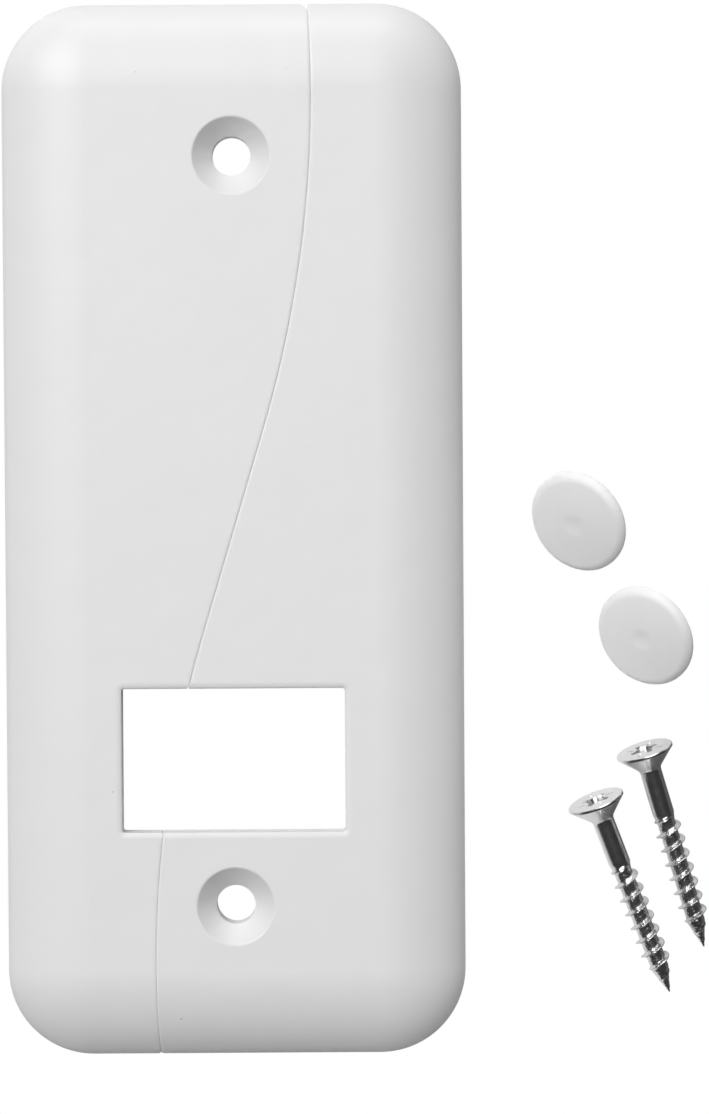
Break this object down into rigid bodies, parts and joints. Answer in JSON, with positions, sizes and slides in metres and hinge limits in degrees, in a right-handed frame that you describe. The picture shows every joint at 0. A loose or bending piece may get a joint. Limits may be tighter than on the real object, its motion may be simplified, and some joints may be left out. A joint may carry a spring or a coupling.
{
  "type": "belt winder cover plate",
  "caption": "Flush shutter-belt winder cover plate in split halves with a belt window, countersunk holes, press-in caps and fixing screws laid beside it.",
  "frame": {"origin": "midway between the two screw holes, on the plate's back plane", "axes": "+Z out of the plate's front, +Y along the row of screw holes towards the end away from the belt window, +X to the right when looking at the front"},
  "size_m": [0.1267, 0.19, 0.0139],
  "materials": {
    "cover_plastic": "fine moulded satin, white",
    "cap_plastic": "soft moulded satin, white",
    "screw_zinc": "bright zinc plating"
  },
  "bodies": {
    "right_half": {"right_cover_half": "cover_plastic"},
    "left_half": {"left_cover_half": "cover_plastic"},
    "upper_cap_body": {"upper_cap": "cap_plastic"},
    "lower_cap_body": {"lower_cap": "cap_plastic"},
    "upper_screw_body": {"upper_screw": "screw_zinc"},
    "lower_screw_body": {"lower_screw": "screw_zinc"}
  },
  "joints": [
    {"name": "halves_apart", "type": "slide", "parent": "right_half", "child": "left_half", "axis": [-1, 0, 0], "range_m": [0, 0.03]},
    {"name": "upper_cap_lift", "type": "slide", "parent": "right_half", "child": "upper_cap_body", "axis": [-0.5104, -0.3443, 0.788], "range_m": [0, 0.015]},
    {"name": "lower_cap_lift", "type": "slide", "parent": "right_half", "child": "lower_cap_body", "axis": [-0.5104, -0.3443, 0.788], "range_m": [0, 0.015]},
    {"name": "upper_screw_turn", "type": "hinge", "parent": "right_half", "child": "upper_screw_body", "pos_m": [0.08485, -0.0762, 0.00093], "axis": [-0.2865, 0.9371, 0.1994], "continuous": true},
    {"name": "lower_screw_turn", "type": "hinge", "parent": "right_half", "child": "lower_screw_body", "pos_m": [0.07855, -0.0844, 0.00098], "axis": [-0.3512, 0.9148, 0.1994], "continuous": true}
  ]
}
